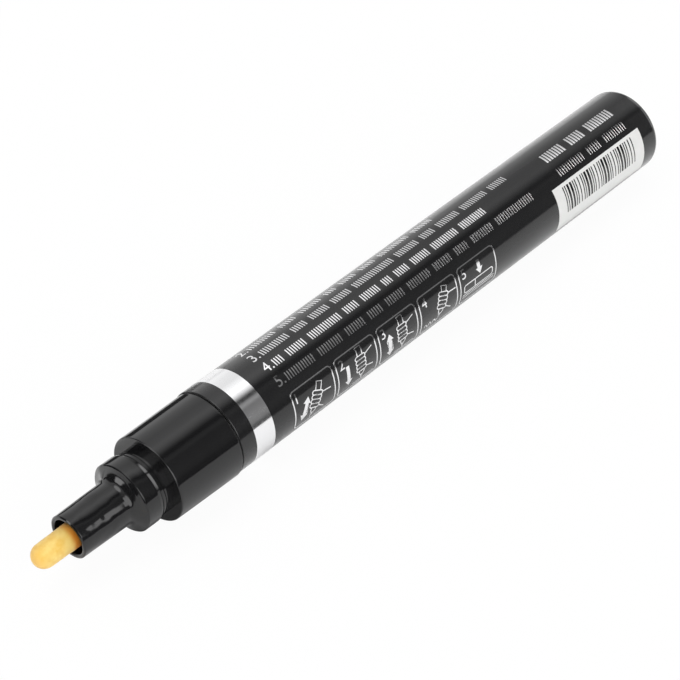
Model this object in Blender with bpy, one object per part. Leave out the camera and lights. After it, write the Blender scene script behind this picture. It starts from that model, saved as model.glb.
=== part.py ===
"""Valve-action paint marker, uncapped and lying on its side.

The marker lies along X with its nib toward -X and its closed tail toward +X. The origin is under
the middle of its length, on the surface that it lies on. Every turned piece is drawn about the
marker's own axis, with heights counted from the barrel's mouth and growing toward the nib.
"""

import math

import bmesh
import bpy
from mathutils import Matrix, Vector

# Clearances: between pieces that seat on each other, and between pieces that slide
FIT_GAP = 0.0002
GUIDE_GAP = 0.0003

# Barrel, an extruded can with a closed tail
BARREL_RADIUS = 0.0075
BARREL_WALL = 0.0004
BARREL_LENGTH = 0.1047
BARREL_RIM_ROUND = 0.00015
TAIL_WALL = 0.0008
TAIL_ROUND = 0.0016

# Tip holder, outside: grip, neck, cap seat with its snap edge, and nose
GRIP_LENGTH = 0.0128
GRIP_STEP = 0.00008
GRIP_TAPER = 0.00014
GRIP_REAR_ROUND = 0.00012
CAP_STOP_WIDTH = 0.00168
CAP_STOP_ROUND = 0.0005
NECK_LENGTH = 0.0024
NECK_FILLET = 0.0006
SNAP_HEIGHT = 0.00028
SNAP_LENGTH = 0.00065
SNAP_ROUND = 0.0003
CAP_SEAT_LENGTH = 0.00225
CAP_SEAT_ROUND = 0.0004
DOME_RISE = 0.0011
NOSE_LENGTH = 0.0098
NOSE_TAPER = 0.00012
NOSE_WALL = 0.00073
LIP_ROUND = 0.00035

# Tip holder, inside: nib guide, ink chamber and the socket for the valve
GUIDE_RIBS = 6
GUIDE_RIB_WIDTH = 0.0007
GUIDE_RIB_SETBACK = 0.0028
GUIDE_RIB_LEAD = 0.0004
CHAMBER_SETBACK = 0.0022
CHAMBER_CONE = 0.0014
NECK_WALL = 0.0010
SOCKET_SETBACK = 0.0068

# Tip holder, the spigot that is pressed into the barrel
SPIGOT_LENGTH = 0.0110
SPIGOT_PLAY = 0.00035
SPIGOT_WALL = 0.00115
SPIGOT_END_ROUND = 0.0005
SEALING_RIBS = 2
SEALING_RIB_WIDTH = 0.0008
SEALING_RIB_PITCH = 0.0030
SEALING_RIB_SETBACK = 0.0030

# Nib
NIB_RADIUS = 0.00205
NIB_PLAY = 0.0009
NIB_REACH = 0.0066
NIB_TRAVEL = 0.0025
NIB_REAR_ROUND = 0.0001

# Valve body, its seat and the soft seal
VALVE_BODY_LENGTH = 0.0140
VALVE_BODY_WALL = 0.0012
VALVE_FRONT_WALL = 0.0015
VALVE_SEAT_HEIGHT = 0.0004
VALVE_SEAT_WIDTH = 0.0006
SEAL_MARGIN = 0.0007
SEAL_THICKNESS = 0.0009
MOULDED_ROUND = 0.0002

# Valve plunger
STEM_RADIUS = 0.00115
STEM_PLAY = 0.00075
HEAD_STEP = 0.0002
HEAD_THICKNESS = 0.0010
SPRING_GUIDE_LENGTH = 0.0031
PIN_RADIUS = 0.0008
PIN_REACH = 0.0005

# Valve spring
SPRING_RADIUS = 0.0020
SPRING_WIRE = 0.0005
SPRING_TURNS = 6

# Spring cage
CAGE_WALL = 0.0008
CAGE_FLOOR = 0.0012
CAGE_FLANGE = 0.0010
CAGE_HEADROOM = 0.0018
INK_SLOTS = 4
INK_SLOT_WIDTH = 0.0016
INK_SLOT_RISE = 0.0025

# Mixing ball, at its distance behind the barrel's mouth
BALL_RADIUS = 0.0030
BALL_STATION = 0.0580

# Facets and steps of round shapes
BARREL_SIDES = 32
HOLDER_SIDES = 48
NIB_SIDES = 32
INNER_SIDES = 24
ARC_STEP = math.radians(24)
SMOOTH_ANGLE = math.radians(30)
SPRING_POINTS_PER_TURN = 10
BALL_SEGMENTS = 20
BALL_RINGS = 12
WELD = 1e-7

# Heights along the axis, from the barrel's mouth toward the nib
TAIL = -BARREL_LENGTH
CAP_STOP = GRIP_LENGTH
NECK_END = CAP_STOP + NECK_LENGTH
CAP_SEAT_REAR = NECK_END + SNAP_LENGTH
CAP_SEAT_FRONT = CAP_SEAT_REAR + CAP_SEAT_LENGTH
NOSE_REAR = CAP_SEAT_FRONT + DOME_RISE
NOSE_MOUTH = NOSE_REAR + NOSE_LENGTH
NIB_TIP = NOSE_MOUTH + NIB_REACH
CHAMBER_FRONT = NECK_END - CHAMBER_SETBACK
SOCKET_FRONT = CAP_STOP - SOCKET_SETBACK
VALVE_FRONT = SOCKET_FRONT - FIT_GAP
VALVE_REAR = VALVE_FRONT - VALVE_BODY_LENGTH
VALVE_CUP_FRONT = VALVE_FRONT - VALVE_FRONT_WALL
VALVE_SEAT = VALVE_CUP_FRONT - VALVE_SEAT_HEIGHT
NIB_REAR = VALVE_FRONT + FIT_GAP + NIB_TRAVEL
STEM_FRONT = NIB_REAR - FIT_GAP
SEAL_FRONT = VALVE_SEAT - FIT_GAP
SEAL_REAR = SEAL_FRONT - SEAL_THICKNESS
HEAD_FRONT = SEAL_REAR - FIT_GAP
HEAD_REAR = HEAD_FRONT - HEAD_THICKNESS
SPRING_GUIDE_END = HEAD_REAR - SPRING_GUIDE_LENGTH
CAGE_FRONT = HEAD_REAR - NIB_TRAVEL - CAGE_HEADROOM
CAGE_STOP = VALVE_REAR - FIT_GAP
CAGE_REAR = CAGE_STOP - CAGE_FLANGE
SPRING_REST = CAGE_REAR + CAGE_FLOOR
PIN_END = CAGE_REAR - PIN_REACH

# Radii that follow from the walls and the fits
BARREL_BORE = BARREL_RADIUS - BARREL_WALL
GRIP_REAR_RADIUS = BARREL_RADIUS - GRIP_STEP
GRIP_FRONT_RADIUS = GRIP_REAR_RADIUS - GRIP_TAPER
NECK_RADIUS = GRIP_FRONT_RADIUS - CAP_STOP_WIDTH
CAP_SEAT_RADIUS = NECK_RADIUS + SNAP_HEIGHT
NOSE_BORE = NIB_RADIUS + NIB_PLAY
NOSE_MOUTH_RADIUS = NOSE_BORE + NOSE_WALL
NOSE_BASE_RADIUS = NOSE_MOUTH_RADIUS + NOSE_TAPER
GUIDE_RIB_RADIUS = NIB_RADIUS + FIT_GAP
CHAMBER_RADIUS = NECK_RADIUS - NECK_WALL
SPIGOT_RADIUS = BARREL_BORE - SPIGOT_PLAY
SEALING_RIB_RADIUS = BARREL_BORE - FIT_GAP
SOCKET_RADIUS = SPIGOT_RADIUS - SPIGOT_WALL
VALVE_BODY_RADIUS = SOCKET_RADIUS - FIT_GAP
VALVE_CUP_RADIUS = VALVE_BODY_RADIUS - VALVE_BODY_WALL
VALVE_HOLE = STEM_RADIUS + STEM_PLAY
VALVE_SEAT_RADIUS = VALVE_HOLE + VALVE_SEAT_WIDTH
SEAL_HOLE = STEM_RADIUS + FIT_GAP
SEAL_RADIUS = VALVE_SEAT_RADIUS + SEAL_MARGIN
HEAD_RADIUS = SEAL_RADIUS - HEAD_STEP
SPRING_GUIDE_RADIUS = SPRING_RADIUS - SPRING_WIRE / 2 - GUIDE_GAP
SPRING_LEDGE = SPRING_RADIUS + SPRING_WIRE / 2 + GUIDE_GAP
CAGE_RADIUS = VALVE_CUP_RADIUS - FIT_GAP
CAGE_BORE = CAGE_RADIUS - CAGE_WALL
CAGE_PIN_HOLE = PIN_RADIUS + GUIDE_GAP
BALL_DROP = BARREL_BORE - FIT_GAP - BALL_RADIUS

# Looks: name, colour, roughness and metallic value
BLACK_LACQUER = ("black_lacquer", (0.012, 0.012, 0.013), 0.28, 0.0)
BLACK_GLOSS = ("black_gloss_plastic", (0.010, 0.010, 0.011), 0.10, 0.0)
CREAM_FELT = ("cream_felt", (0.90, 0.60, 0.16), 0.85, 0.0)
WHITE_PLASTIC = ("white_plastic", (0.80, 0.80, 0.78), 0.40, 0.0)
GREY_PLASTIC = ("grey_plastic", (0.45, 0.45, 0.46), 0.40, 0.0)
BLACK_RUBBER = ("black_rubber", (0.03, 0.03, 0.03), 0.70, 0.0)
SPRING_STEEL = ("spring_steel", (0.55, 0.55, 0.56), 0.30, 1.0)
BALL_STEEL = ("ball_steel", (0.62, 0.62, 0.63), 0.12, 1.0)


def clear_scene():
    for item in list(bpy.data.objects):
        bpy.data.objects.remove(item, do_unlink=True)


def make_material(look):
    name, colour, roughness, metallic = look
    made = bpy.data.materials.new(name)
    made.use_nodes = True
    shader = made.node_tree.nodes["Principled BSDF"]
    shader.inputs["Base Color"].default_value = (*colour, 1.0)
    shader.inputs["Roughness"].default_value = roughness
    shader.inputs["Metallic"].default_value = metallic
    return made


def marker_axis():
    """An empty at the barrel's mouth, whose Z axis runs along the marker toward the nib."""
    axis = bpy.data.objects.new("marker_axis", None)
    axis.location = ((NIB_TIP + TAIL) / 2, 0, BARREL_RADIUS)
    axis.rotation_euler = (0, -math.pi / 2, 0)
    bpy.context.collection.objects.link(axis)
    return axis


def place(name, data, parent, look=None, location=(0, 0, 0)):
    """An object for finished data, carried by the marker's axis."""
    if look:
        data.materials.append(make_material(look))
    item = bpy.data.objects.new(name, data)
    item.parent = parent
    item.location = location
    bpy.context.collection.objects.link(item)
    return item


def mesh_from(bm, name):
    """A mesh with its faces pointing out, smooth over round faces and sharp at edges."""
    bmesh.ops.recalc_face_normals(bm, faces=bm.faces)
    mesh = bpy.data.meshes.new(name)
    bm.to_mesh(mesh)
    bm.free()
    mesh.shade_smooth()
    mesh.set_sharp_from_angle(angle=SMOOTH_ANGLE)
    return mesh


def corner_arc(before, corner, after, radius, room_before, room_after):
    """Points of the arc that rounds a profile's corner, limited by the room on its two edges."""
    back = before - corner
    ahead = after - corner
    turn = math.pi - back.angle(ahead)
    reach = radius * math.tan(turn / 2)
    reach = min(reach, back.length * room_before, ahead.length * room_after)
    radius = reach / math.tan(turn / 2)
    middle = (back.normalized() + ahead.normalized()).normalized()
    centre = corner + middle * (radius / math.cos(turn / 2))
    spoke = corner + back.normalized() * reach - centre
    way = 1 if back.x * ahead.y < back.y * ahead.x else -1
    steps = max(2, math.ceil(turn / ARC_STEP))
    angles = [way * turn * step / steps for step in range(steps + 1)]
    return [centre + Matrix.Rotation(angle, 2) @ spoke for angle in angles]


def outline(corners, closed):
    """A profile's points. A corner is (height, radius), or (height, radius, rounding)."""
    count = len(corners)
    spots = [Vector(corner[:2]) for corner in corners]
    points = []
    for index, corner in enumerate(corners):
        if len(corner) == 2:
            points.append(spots[index])
            continue
        before = index - 1
        after = (index + 1) % count
        room_before = 0.5 if len(corners[before]) == 3 else 1.0
        room_after = 0.5 if len(corners[after]) == 3 else 1.0
        points += corner_arc(
            spots[before], spots[index], spots[after], corner[2], room_before, room_after
        )
    return points + points[:1] if closed else points


def turned(name, corners, sides, parent, look, closed=True):
    """A profile spun about the axis. The flats of the round lie at the stated radii."""
    edge_radius = 1 / math.cos(math.pi / sides)
    start = Matrix.Rotation(math.pi / sides, 3, "Z")
    bm = bmesh.new()
    verts = [
        bm.verts.new(start @ Vector((radius * edge_radius, 0, height)))
        for height, radius in outline(corners, closed)
    ]
    edges = [bm.edges.new(pair) for pair in zip(verts, verts[1:])]
    bmesh.ops.spin(
        bm, geom=verts + edges, cent=(0, 0, 0), axis=(0, 0, 1),
        angle=2 * math.pi, steps=sides, use_merge=True,
    )
    bmesh.ops.remove_doubles(bm, verts=bm.verts, dist=WELD)
    return place(name, mesh_from(bm, name), parent, look)


def radial_blocks(name, count, width, radii, heights, parent):
    """A ring of blocks that point at the axis, kept as a guide for a Boolean."""
    inner, outer = radii
    bottom, top = heights
    size = Vector((outer - inner, width, top - bottom))
    middle = Vector(((outer + inner) / 2, 0, (top + bottom) / 2))
    bm = bmesh.new()
    for index in range(count):
        turn = Matrix.Rotation(2 * math.pi * index / count, 4, "Z")
        spot = turn @ Matrix.Translation(middle) @ Matrix.Diagonal((*size, 1.0))
        bmesh.ops.create_cube(bm, size=1.0, matrix=spot)
    guide = place(name, mesh_from(bm, name), parent)
    guide.hide_render = True
    guide.display_type = "WIRE"
    return guide


def combine(item, guide, operation):
    cut = item.modifiers.new(guide.name, "BOOLEAN")
    cut.operation = operation
    cut.object = guide


def make_barrel(axis):
    corners = [
        (TAIL, 0),
        (TAIL, BARREL_RADIUS, TAIL_ROUND),
        (0, BARREL_RADIUS, BARREL_RIM_ROUND),
        (0, BARREL_BORE),
        (TAIL + TAIL_WALL, BARREL_BORE, TAIL_ROUND - BARREL_WALL),
        (TAIL + TAIL_WALL, 0),
    ]
    turned("barrel", corners, BARREL_SIDES, axis, BLACK_LACQUER, closed=False)


def sealing_ribs():
    """Corners of the low ribs round the spigot, from the shoulder back."""
    corners = []
    for index in range(SEALING_RIBS):
        middle = -SEALING_RIB_SETBACK - index * SEALING_RIB_PITCH
        corners += [
            (middle + SEALING_RIB_WIDTH / 2, SPIGOT_RADIUS),
            (middle + SEALING_RIB_WIDTH / 4, SEALING_RIB_RADIUS),
            (middle - SEALING_RIB_WIDTH / 4, SEALING_RIB_RADIUS),
            (middle - SEALING_RIB_WIDTH / 2, SPIGOT_RADIUS),
        ]
    return corners


def make_tip_holder(axis):
    """One moulding: nose, cap seat, neck, grip and spigot, hollow from end to end."""
    corners = [
        (NOSE_MOUTH, NOSE_BORE, LIP_ROUND),
        (NOSE_MOUTH, NOSE_MOUTH_RADIUS, LIP_ROUND),
        (NOSE_REAR, NOSE_BASE_RADIUS),
        (CAP_SEAT_FRONT, CAP_SEAT_RADIUS, CAP_SEAT_ROUND),
        (CAP_SEAT_REAR, CAP_SEAT_RADIUS, SNAP_ROUND),
        (NECK_END, NECK_RADIUS, SNAP_ROUND),
        (CAP_STOP, NECK_RADIUS, NECK_FILLET),
        (CAP_STOP, GRIP_FRONT_RADIUS, CAP_STOP_ROUND),
        (FIT_GAP, GRIP_REAR_RADIUS, GRIP_REAR_ROUND),
        (FIT_GAP, SPIGOT_RADIUS),
        *sealing_ribs(),
        (-SPIGOT_LENGTH, SPIGOT_RADIUS, SPIGOT_END_ROUND),
        (-SPIGOT_LENGTH, SOCKET_RADIUS),
        (SOCKET_FRONT, SOCKET_RADIUS),
        (SOCKET_FRONT, CHAMBER_RADIUS),
        (CHAMBER_FRONT, CHAMBER_RADIUS),
        (CHAMBER_FRONT + CHAMBER_CONE, NOSE_BORE),
    ]
    holder = turned("tip_holder", corners, HOLDER_SIDES, axis, BLACK_GLOSS)
    ribs = radial_blocks(
        "nib_guide_ribs", GUIDE_RIBS, GUIDE_RIB_WIDTH,
        (GUIDE_RIB_RADIUS, NOSE_BORE + NOSE_WALL / 2),
        (CHAMBER_FRONT + CHAMBER_CONE + GUIDE_RIB_LEAD, NOSE_MOUTH - GUIDE_RIB_SETBACK), axis,
    )
    combine(holder, ribs, "UNION")


def make_nib(axis):
    corners = [
        (NIB_TIP, 0),
        (NIB_TIP, NIB_RADIUS, NIB_RADIUS),
        (NIB_REAR, NIB_RADIUS, NIB_REAR_ROUND),
        (NIB_REAR, 0),
    ]
    turned("nib", corners, NIB_SIDES, axis, CREAM_FELT, closed=False)


def make_valve_body(axis):
    """A cup with a raised seat round the hole in its front wall."""
    corners = [
        (VALVE_FRONT, VALVE_HOLE),
        (VALVE_FRONT, VALVE_BODY_RADIUS, MOULDED_ROUND),
        (VALVE_REAR, VALVE_BODY_RADIUS),
        (VALVE_REAR, VALVE_CUP_RADIUS),
        (VALVE_CUP_FRONT, VALVE_CUP_RADIUS, MOULDED_ROUND),
        (VALVE_CUP_FRONT, VALVE_SEAT_RADIUS + VALVE_SEAT_HEIGHT),
        (VALVE_SEAT, VALVE_SEAT_RADIUS),
        (VALVE_SEAT, VALVE_HOLE),
    ]
    turned("valve_body", corners, INNER_SIDES, axis, WHITE_PLASTIC)


def make_valve_seal(axis):
    corners = [
        (SEAL_FRONT, SEAL_HOLE),
        (SEAL_FRONT, SEAL_RADIUS, MOULDED_ROUND),
        (SEAL_REAR, SEAL_RADIUS, MOULDED_ROUND),
        (SEAL_REAR, SEAL_HOLE),
    ]
    turned("valve_seal", corners, INNER_SIDES, axis, BLACK_RUBBER)


def make_valve_plunger(axis):
    """Stem behind the nib, head under the seal, spring guide, and a pin that runs in the cage."""
    corners = [
        (STEM_FRONT, 0),
        (STEM_FRONT, STEM_RADIUS, MOULDED_ROUND),
        (HEAD_FRONT, STEM_RADIUS),
        (HEAD_FRONT, HEAD_RADIUS, MOULDED_ROUND),
        (HEAD_REAR, HEAD_RADIUS, MOULDED_ROUND),
        (HEAD_REAR, SPRING_GUIDE_RADIUS),
        (SPRING_GUIDE_END, SPRING_GUIDE_RADIUS),
        (SPRING_GUIDE_END - (SPRING_GUIDE_RADIUS - PIN_RADIUS), PIN_RADIUS),
        (PIN_END, PIN_RADIUS, MOULDED_ROUND),
        (PIN_END, 0),
    ]
    turned("valve_plunger", corners, INNER_SIDES, axis, WHITE_PLASTIC, closed=False)


def make_spring_cage(axis):
    """Slotted cup that plugs the valve body and carries the spring on its floor."""
    corners = [
        (CAGE_FRONT, CAGE_BORE),
        (CAGE_FRONT, CAGE_RADIUS, MOULDED_ROUND),
        (CAGE_STOP, CAGE_RADIUS),
        (CAGE_STOP, VALVE_BODY_RADIUS),
        (CAGE_REAR, VALVE_BODY_RADIUS, MOULDED_ROUND),
        (CAGE_REAR, CAGE_PIN_HOLE),
        (SPRING_REST, CAGE_PIN_HOLE),
        (SPRING_REST, CAGE_BORE),
    ]
    cage = turned("spring_cage", corners, INNER_SIDES, axis, GREY_PLASTIC)
    slots = radial_blocks(
        "ink_slots", INK_SLOTS, INK_SLOT_WIDTH,
        (SPRING_LEDGE, (CAGE_RADIUS + VALVE_BODY_RADIUS) / 2),
        (CAGE_REAR - CAGE_FLOOR, SPRING_REST + INK_SLOT_RISE), axis,
    )
    combine(cage, slots, "DIFFERENCE")


def least_coil_gap(points):
    """Smallest clear distance between turns, over points more than half a turn apart."""
    apart = SPRING_POINTS_PER_TURN // 2
    distances = [
        (points[later] - points[first]).length
        for first in range(len(points))
        for later in range(first + apart + 1, len(points))
    ]
    return min(distances) - SPRING_WIRE


def make_valve_spring(axis):
    """A wire helix between the plunger's head and the cage's floor."""
    bottom = SPRING_REST + FIT_GAP + SPRING_WIRE / 2
    top = HEAD_REAR - FIT_GAP - SPRING_WIRE / 2
    steps = SPRING_TURNS * SPRING_POINTS_PER_TURN
    points = []
    for step in range(steps + 1):
        angle = 2 * math.pi * step / SPRING_POINTS_PER_TURN
        height = bottom + (top - bottom) * step / steps
        points.append(Vector((
            SPRING_RADIUS * math.cos(angle), SPRING_RADIUS * math.sin(angle), height,
        )))
    wire = bpy.data.curves.new("valve_spring", "CURVE")
    wire.dimensions = "3D"
    wire.bevel_depth = SPRING_WIRE / 2
    wire.bevel_resolution = 1
    wire.use_fill_caps = True
    spline = wire.splines.new("POLY")
    spline.points.add(steps)
    for spot, point in zip(spline.points, points):
        spot.co = (*point, 1.0)
    place("valve_spring", wire, axis, SPRING_STEEL)
    print(f"valve_spring least gap between turns: {least_coil_gap(points) * 1000:.2f} mm")


def make_mixing_ball(axis):
    bm = bmesh.new()
    bmesh.ops.create_uvsphere(
        bm, u_segments=BALL_SEGMENTS, v_segments=BALL_RINGS, radius=BALL_RADIUS
    )
    spot = (-BALL_DROP, 0, -BALL_STATION)
    place("mixing_ball", mesh_from(bm, "mixing_ball"), axis, BALL_STEEL, spot)


def main():
    clear_scene()
    axis = marker_axis()
    make_barrel(axis)
    make_tip_holder(axis)
    make_nib(axis)
    make_valve_body(axis)
    make_valve_seal(axis)
    make_valve_plunger(axis)
    make_valve_spring(axis)
    make_spring_cage(axis)
    make_mixing_ball(axis)


main()
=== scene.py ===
"""Looks of the valve-action paint marker: turned shells, prints on the barrel, felt nib and studio.

Turned pieces are drawn in millimetres about the marker's own axis. Heights count from the barrel's
mouth and grow toward the nib. Prints are drawn flat, x along the marker and y round the barrel
from its top line, and are then wrapped on the barrel.
"""

import math

import bmesh
import bpy
from mathutils import Matrix, Vector, noise


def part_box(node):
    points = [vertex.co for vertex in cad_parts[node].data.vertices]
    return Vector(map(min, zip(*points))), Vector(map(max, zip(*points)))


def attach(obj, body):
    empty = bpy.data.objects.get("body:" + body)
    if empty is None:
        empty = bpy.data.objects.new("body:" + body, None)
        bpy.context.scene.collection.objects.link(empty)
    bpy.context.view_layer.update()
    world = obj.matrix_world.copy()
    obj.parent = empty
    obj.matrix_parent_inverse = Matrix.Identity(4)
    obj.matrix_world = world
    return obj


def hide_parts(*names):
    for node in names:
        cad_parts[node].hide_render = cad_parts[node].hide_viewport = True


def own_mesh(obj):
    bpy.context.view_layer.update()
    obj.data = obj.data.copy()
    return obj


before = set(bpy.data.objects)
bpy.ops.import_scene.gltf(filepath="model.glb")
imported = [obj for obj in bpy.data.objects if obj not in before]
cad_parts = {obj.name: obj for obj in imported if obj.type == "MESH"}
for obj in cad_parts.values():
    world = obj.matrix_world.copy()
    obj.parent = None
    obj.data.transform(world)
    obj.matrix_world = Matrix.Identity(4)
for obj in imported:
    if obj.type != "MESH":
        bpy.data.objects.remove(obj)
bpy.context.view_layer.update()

MM = 0.001
MOUTH_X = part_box("barrel")[0].x
AXIS_Z = (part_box("barrel")[0].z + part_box("barrel")[1].z) / 2
MARKER_AXIS = (
    Matrix.Translation((MOUTH_X, 0, AXIS_Z))
    @ Matrix.Rotation(-math.pi / 2, 4, "Y")
    @ Matrix.Scale(MM, 4)
)

# Barrel
BARREL_R = 7.5
BARREL_BORE = 7.1
BARREL_MOUTH_ROUND = 0.15
TAIL = -104.7
TAIL_ROUND = 1.3
TAIL_FLOOR = -103.9
TAIL_FLOOR_ROUND = 1.2

# Tip moulding, from the nose back to the spigot. SUPPORTS are shares of the way to the next edge,
# where a plain corner keeps the face straight
NOSE_MOUTH = 29.0
NOSE_BORE = 2.95
NOSE_BORE_ROUND = 0.25
NOSE_MOUTH_R = 3.68
LIP_CHAMFER = 28.84
LIP_R = 3.43
LIP_ROUND = 0.08
LIP_SUPPORTS = (0.015, 0.9)
NOSE_REAR = 19.48
NOSE_BASE_R = 3.80
FOOT_ROUND = 1.2
FOOT_SUPPORTS = (0.5, 0.8)
BELL = 18.72
BELL_R = 4.88
BELL_ROUND = 3.0
BELL_SUPPORTS = (0.32, 0.94)
SEAT_FRONT = 18.34
SEAT_FRONT_R = 5.71
SEAT_EDGE = 18.16
SEAT_R = 5.88
SEAT_ROUND = 0.1
SEAT_CHAMFER_SUPPORTS = (0.2, 0.7)
SEAT_SUPPORTS = (0.1,)
SNAP_FRONT = 15.72
SNAP_FRONT_ROUND = 0.8
SNAP_REAR = 15.05
SNAP_REAR_ROUND = 0.3
SNAP_R = 5.70
NECK_LEDGE = 14.5
NECK_LEDGE_R = 5.66
NECK_END = 14.35
NECK_R = 5.6
NECK_ROUND = 0.05
CAP_STOP = 12.96
CAP_STOP_ROUND = 0.2
GRIP_FRONT_R = 7.36
GRIP_SUPPORTS = (0.04, 0.97)
GRIP_REAR_R = 7.49
GRIP_REAR = 0.34
GRIP_REAR_ROUND = 0.12
GRIP_ASKEW = 0.19
SPIGOT_R = 6.75
SPIGOT_ROOT_ROUND = 0.1
SPIGOT_END = -11.0
SPIGOT_END_ROUND = 0.5
SEAL_RIB_R = 6.9
SEAL_RIBS = (-3.0, -6.0)
SEAL_RIB_HALF = 0.4
SEAL_RIB_ROUND = 0.1
SOCKET_R = 5.6
SOCKET_MOUTH_ROUND = 0.2
SOCKET_FRONT = 6.0
CHAMBER_R = 4.6
CHAMBER_REAR_ROUND = 0.15
CHAMBER_FRONT = 13.0
CHAMBER_FRONT_ROUND = 0.3
GUIDE_REAR = 14.4
GUIDE_ROUND = 0.2
RIB_FRONT = 26.2
RIB_REAR = 14.8
RIB_R = 2.25
RIB_COUNT = 6
RIB_HALF_ANGLE = math.radians(6.8)
BORE_CUT_MARGIN = 0.05
BORE_FACE_MARGIN = 0.02

# Finish of the nose: sink marks fade out before its foot, and a waist runs from behind the mouth to
# past the foot
SINK_FADE = (-3.0, -0.5)
SINK_ON_GRIP = 0.06
SINK_DEPTH = 0.2
WAIST_FROM_MOUTH, WAIST_PAST_FOOT = 2.6, 1.0
WAIST_DEPTH = 0.43

# Nib
NIB_R = 2.05
NIB_TIP_R = 1.96
NIB_TIP = 35.6
NIB_TIP_FLAT = 0.01
NIB_REAR = 8.5
NIB_REAR_ROUND = 0.1
NIB_SIDES = 96
NIB_LONG_EDGE = 2.0
NIB_CUTS = 24
AXIS_MARGIN = 1e-4
# Lumps of the felt: how often per millimetre, and how high
NIB_LUMPS = ((1.3, 0.035), (4.0, 0.015))
# Tones of the felt: the stain and the painted shade count from the nose's mouth, the soaked part
# from the nib's end, and the stain's sides from the middle of the rod
STAIN_REACH = (-0.9, 0.1)
STAIN_SIDES = (-1.5, 1.0)
PAINTED_SHADE_REACH = (-2.6, -0.6)
SOAKED_REACH = (0.2, 1.8)

# Valve pieces inside the tip: (height, radius, rounding) of each corner
VALVE_CUP = [
    (5.8, 1.9, 0.1), (5.8, 5.4, 0.2), (-8.2, 5.4), (-8.2, 4.2), (4.3, 4.2, 0.2),
    (4.3, 2.9), (3.9, 2.5, 0.1), (3.9, 1.9, 0.1),
]
SEAL_WASHER = [(3.7, 1.35), (3.7, 3.2, 0.2), (2.8, 3.2, 0.2), (2.8, 1.35)]
PLUNGER = [
    (8.3, 0), (8.3, 1.15, 0.2), (2.6, 1.15, 0.1), (2.6, 3.0, 0.2), (1.6, 3.0, 0.2),
    (1.6, 1.45, 0.1), (-1.5, 1.45), (-2.15, 0.8), (-9.9, 0.8, 0.2), (-9.9, 0),
]
CAGE = [
    (-2.7, 3.2), (-2.7, 4.0, 0.2), (-8.4, 4.0), (-8.4, 5.4), (-9.4, 5.4, 0.2),
    (-9.4, 1.1), (-8.2, 1.1), (-8.2, 3.2),
]
SLOT_COUNT = 4
SLOT_MIDDLE = (3.625, 0, -8.15)
SLOT_SIZE = (2.15, 1.6, 4.9)
SPRING_BOTTOM, SPRING_TOP = -8.0, 1.4
COIL_R, WIRE_R = 2.0, 0.25
COIL_TURNS, COIL_STEPS, WIRE_SIDES = 6, 36, 14
BALL_DETAIL = 5

# Prints, in millimetres on the unrolled barrel
PRINT_SINK = 0.004
PRINT_RISE = 0.012
RING_FRONT = -2.9
RING_REAR = -6.9
WRAP_STEP = 0.3

FINE_SIDES = 192
INNER_SIDES = 64
ARC_STEP = math.radians(9)
WELD = 1e-5
SMOOTH_ANGLE = math.radians(32)


# Materials


class Graph:
    """A node tree, with short calls for the nodes that the finishes and the studio share."""

    def __init__(self, tree):
        self.tree = tree

    def add(self, kind, **settings):
        node = self.tree.nodes.new(kind)
        for key, value in settings.items():
            setattr(node, key, value)
        return node

    def link(self, source, target):
        self.tree.links.new(source, target)

    def feed(self, target, value):
        """Links an output to a socket, or sets the socket to a number or a colour."""
        if isinstance(value, bpy.types.NodeSocket):
            self.link(value, target)
        else:
            target.default_value = (*value, 1.0) if isinstance(value, tuple) else value

    def math(self, operation, *values):
        node = self.add("ShaderNodeMath", operation=operation)
        for socket, value in zip(node.inputs, values):
            self.feed(socket, value)
        return node.outputs[0]

    def fold(self, operation, first, *others):
        """Any number of values, joined in turn by one operation."""
        for value in others:
            first = self.math(operation, first, value)
        return first

    def axes(self, vector):
        node = self.add("ShaderNodeSeparateXYZ")
        self.link(vector, node.inputs["Vector"])
        return node.outputs["X"], node.outputs["Y"], node.outputs["Z"]

    def ramp(self, source, stops):
        node = self.add("ShaderNodeValToRGB")
        band = node.color_ramp.elements
        while len(band) < len(stops):
            band.new(0.5)
        for element, (position, colour) in zip(band, stops):
            element.position = position
            element.color = (*colour, 1.0)
        self.link(source, node.inputs["Fac"])
        return node.outputs["Color"]

    def spread(self, source, low, high, from_low=0.3, from_high=0.7, soft=False):
        """Takes a source to the range from low to high, by default from the range of a noise."""
        node = self.add("ShaderNodeMapRange")
        if soft:
            node.interpolation_type = "SMOOTHSTEP"
        node.inputs["From Min"].default_value = from_low
        node.inputs["From Max"].default_value = from_high
        node.inputs["To Min"].default_value = low
        node.inputs["To Max"].default_value = high
        self.link(source, node.inputs["Value"])
        return node.outputs["Result"]

    def between(self, source, low, high, edge):
        """1 from low to high and 0 outside, with soft edges."""
        rise = self.spread(source, 0.0, 1.0, low - edge, low + edge)
        fall = self.spread(source, 1.0, 0.0, high - edge, high + edge)
        return self.math("MULTIPLY", rise, fall)

    def mix(self, factor, first, second):
        node = self.add("ShaderNodeMix", data_type="RGBA")
        self.feed(node.inputs["Factor"], factor)
        self.feed(node.inputs[6], first)
        self.feed(node.inputs[7], second)
        return node.outputs[2]


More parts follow.
